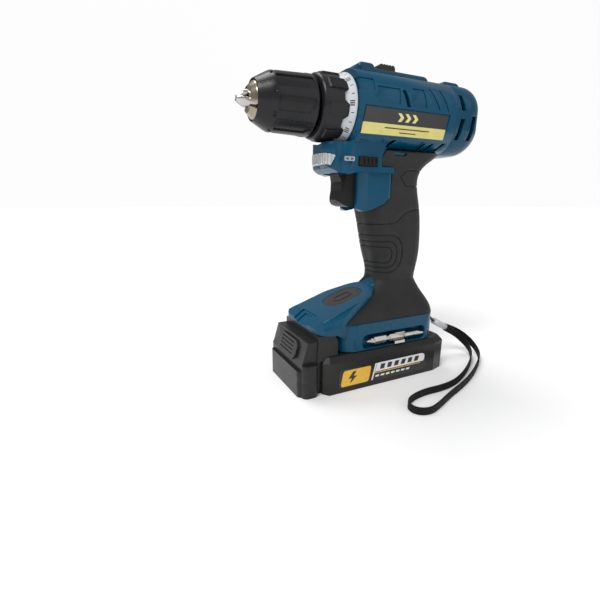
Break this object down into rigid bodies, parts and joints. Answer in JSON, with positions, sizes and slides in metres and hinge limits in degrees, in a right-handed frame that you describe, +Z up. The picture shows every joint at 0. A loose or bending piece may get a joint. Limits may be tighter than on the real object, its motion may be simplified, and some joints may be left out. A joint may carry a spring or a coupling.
{
  "type": "cordless drill",
  "caption": "Compact cordless drill driver with keyless chuck, torque collar, soft grip, slide-on battery, bit clip and wrist strap.",
  "frame": {"origin": "middle of the flat underside of the battery, on which the drill stands", "axes": "+X to the rear of the drill (the chuck points to -X), +Y to the right side of the drill, +Z up"},
  "size_m": [0.2381, 0.1326, 0.259],
  "materials": {
    "body_shell": "moulded, petrol blue, satin",
    "grip_rubber": "soft overmould, charcoal",
    "clear_lens": "clear moulded lens",
    "lamp": "white lamp",
    "black_plastic": "moulded, black",
    "selector_plastic": "moulded, dark brown",
    "chuck_steel": "machined steel",
    "chuck_plastic": "moulded, black, fine texture",
    "scale_plastic": "moulded, pale grey",
    "spring_steel": "spring steel",
    "gear_steel": "sintered and cut steel",
    "motor_steel": "drawn steel",
    "magnet": "ferrite",
    "copper_winding": "enamelled copper",
    "pad_plastic": "moulded, grey brown",
    "battery_case": "moulded, black, fine texture",
    "cell_wrap": "shrink film",
    "circuit_board": "green board",
    "label_film": "printed film, yellow and white on black",
    "badge_film": "printed film, black with a yellow band",
    "strap_fabric": "woven webbing, black",
    "ferrule_plastic": "translucent white"
  },
  "bodies": {
    "drill": {"housing_left": "body_shell", "housing_right": "body_shell", "rear_cap": "body_shell", "grip_left": "grip_rubber", "grip_right": "grip_rubber", "led_lens": "clear_lens", "led": "lamp", "switch_module": "black_plastic", "gearbox_case": "black_plastic", "spindle_bearing": "gear_steel", "thrust_washer": "gear_steel", "clutch_spring": "spring_steel", "ring_gear_one": "gear_steel", "motor_plate": "gear_steel", "motor_can": "motor_steel", "motor_magnets": "magnet", "brush_holder": "black_plastic", "foot_pad": "pad_plastic", "bit_clip": "spring_steel", "terminal_block": "black_plastic", "side_badges": "badge_film", "housing_screws": "spring_steel", "lanyard_cord": "strap_fabric", "lanyard_ferrule": "ferrule_plastic", "wrist_strap": "strap_fabric"},
    "spindle": {"output_spindle": "gear_steel", "chuck_body": "chuck_steel"},
    "sleeve": {"chuck_sleeve": "chuck_plastic", "chuck_nut": "chuck_steel"},
    "collar": {"torque_collar": "chuck_plastic", "scale_ring": "scale_plastic"},
    "torque_nut": {"clutch_nut": "black_plastic"},
    "rotor": {"armature": "copper_winding", "motor_pinion": "gear_steel", "motor_fan": "black_plastic"},
    "first_carrier": {"carrier_one": "gear_steel"},
    "selector": {"speed_selector": "selector_plastic", "shift_ring": "gear_steel"},
    "reverser": {"direction_switch": "black_plastic"},
    "trigger_body": {"trigger": "black_plastic"},
    "battery": {"battery_lower": "battery_case", "battery_upper": "battery_case", "battery_cells": "cell_wrap", "battery_board": "circuit_board", "battery_labels": "label_film", "battery_screws": "spring_steel"},
    "latch": {"battery_latch": "black_plastic"},
    "bit": {"screwdriver_bit": "chuck_steel"},
    "jaw_1": {"chuck_jaw_1": "chuck_steel"},
    "jaw_2": {"chuck_jaw_2": "chuck_steel"},
    "jaw_3": {"chuck_jaw_3": "chuck_steel"},
    "planet_a1_body": {"planet_a1": "gear_steel"},
    "planet_a2_body": {"planet_a2": "gear_steel"},
    "planet_a3_body": {"planet_a3": "gear_steel"},
    "planet_b1_body": {"planet_b1": "gear_steel"},
    "planet_b2_body": {"planet_b2": "gear_steel"},
    "planet_b3_body": {"planet_b3": "gear_steel"}
  },
  "joints": [
    {"name": "chuck_spin", "type": "hinge", "parent": "drill", "child": "spindle", "pos_m": [-0.06, 0, 0.2235], "axis": [1, 0, 0], "continuous": true},
    {"name": "carrier_spin", "type": "hinge", "parent": "drill", "child": "first_carrier", "pos_m": [0, 0, 0.2235], "axis": [1, 0, 0], "continuous": true},
    {"name": "motor_spin", "type": "hinge", "parent": "drill", "child": "rotor", "pos_m": [0.04, 0, 0.2235], "axis": [1, 0, 0], "continuous": true},
    {"name": "sleeve_turn", "type": "hinge", "parent": "spindle", "child": "sleeve", "pos_m": [-0.08, 0, 0.2235], "axis": [1, 0, 0], "range_deg": [0, 1440]},
    {"name": "collar_turn", "type": "hinge", "parent": "drill", "child": "collar", "pos_m": [-0.045, 0, 0.2235], "axis": [1, 0, 0], "range_deg": [0, 300]},
    {"name": "torque_nut_slide", "type": "slide", "parent": "drill", "child": "torque_nut", "axis": [-1, 0, 0], "range_m": [0, 0.003]},
    {"name": "selector_slide", "type": "slide", "parent": "drill", "child": "selector", "axis": [1, 0, 0], "range_m": [0, 0.006]},
    {"name": "direction_slide", "type": "slide", "parent": "drill", "child": "reverser", "axis": [0, 1, 0], "range_m": [-0.0022, 0.0022]},
    {"name": "trigger_pull", "type": "slide", "parent": "drill", "child": "trigger_body", "axis": [1, 0, 0], "range_m": [0, 0.007], "stiffness_N_per_m": 700},
    {"name": "battery_slide", "type": "slide", "parent": "drill", "child": "battery", "axis": [-1, 0, 0], "range_m": [0, 0.115]},
    {"name": "latch_press", "type": "slide", "parent": "battery", "child": "latch", "axis": [0.9558, 0, -0.2941], "range_m": [0, 0.0025], "stiffness_N_per_m": 900},
    {"name": "bit_pull", "type": "slide", "parent": "drill", "child": "bit", "axis": [0, -1, 0], "range_m": [0, 0.02]},
    {"name": "jaw_1_slide", "type": "slide", "parent": "spindle", "child": "jaw_1", "axis": [0.9781, 0, 0.2079], "range_m": [0, 0.0235]},
    {"name": "jaw_2_slide", "type": "slide", "parent": "spindle", "child": "jaw_2", "axis": [0.9781, -0.1801, -0.104], "range_m": [0, 0.0235]},
    {"name": "jaw_3_slide", "type": "slide", "parent": "spindle", "child": "jaw_3", "axis": [0.9781, 0.1801, -0.104], "range_m": [0, 0.0235]},
    {"name": "planet_a1_spin", "type": "hinge", "parent": "first_carrier", "child": "planet_a1_body", "pos_m": [0.008, 0.01013, 0.2235], "axis": [1, 0, 0], "continuous": true},
    {"name": "planet_a2_spin", "type": "hinge", "parent": "first_carrier", "child": "planet_a2_body", "pos_m": [0.008, -0.00506, 0.23227], "axis": [1, 0, 0], "continuous": true},
    {"name": "planet_a3_spin", "type": "hinge", "parent": "first_carrier", "child": "planet_a3_body", "pos_m": [0.008, -0.00506, 0.21473], "axis": [1, 0, 0], "continuous": true},
    {"name": "planet_b1_spin", "type": "hinge", "parent": "spindle", "child": "planet_b1_body", "pos_m": [-0.007, 0.01013, 0.2235], "axis": [1, 0, 0], "continuous": true},
    {"name": "planet_b2_spin", "type": "hinge", "parent": "spindle", "child": "planet_b2_body", "pos_m": [-0.007, -0.00506, 0.23227], "axis": [1, 0, 0], "continuous": true},
    {"name": "planet_b3_spin", "type": "hinge", "parent": "spindle", "child": "planet_b3_body", "pos_m": [-0.007, -0.00506, 0.21473], "axis": [1, 0, 0], "continuous": true}
  ],
  "couplings": [
    {"joint": "carrier_spin", "follows": "motor_spin", "ratio": 0.22222},
    {"joint": "chuck_spin", "follows": "motor_spin", "ratio": 0.049383},
    {"joint": "torque_nut_slide", "follows": "collar_turn", "m_per_rad": 0.00057239},
    {"joint": "jaw_1_slide", "follows": "sleeve_turn", "m_per_rad": 0.0009341},
    {"joint": "jaw_2_slide", "follows": "sleeve_turn", "m_per_rad": 0.0009341},
    {"joint": "jaw_3_slide", "follows": "sleeve_turn", "m_per_rad": 0.0009341},
    {"joint": "planet_a1_spin", "follows": "motor_spin", "ratio": -0.62222},
    {"joint": "planet_a2_spin", "follows": "motor_spin", "ratio": -0.62222},
    {"joint": "planet_a3_spin", "follows": "motor_spin", "ratio": -0.62222},
    {"joint": "planet_b1_spin", "follows": "motor_spin", "ratio": -0.13827},
    {"joint": "planet_b2_spin", "follows": "motor_spin", "ratio": -0.13827},
    {"joint": "planet_b3_spin", "follows": "motor_spin", "ratio": -0.13827}
  ]
}
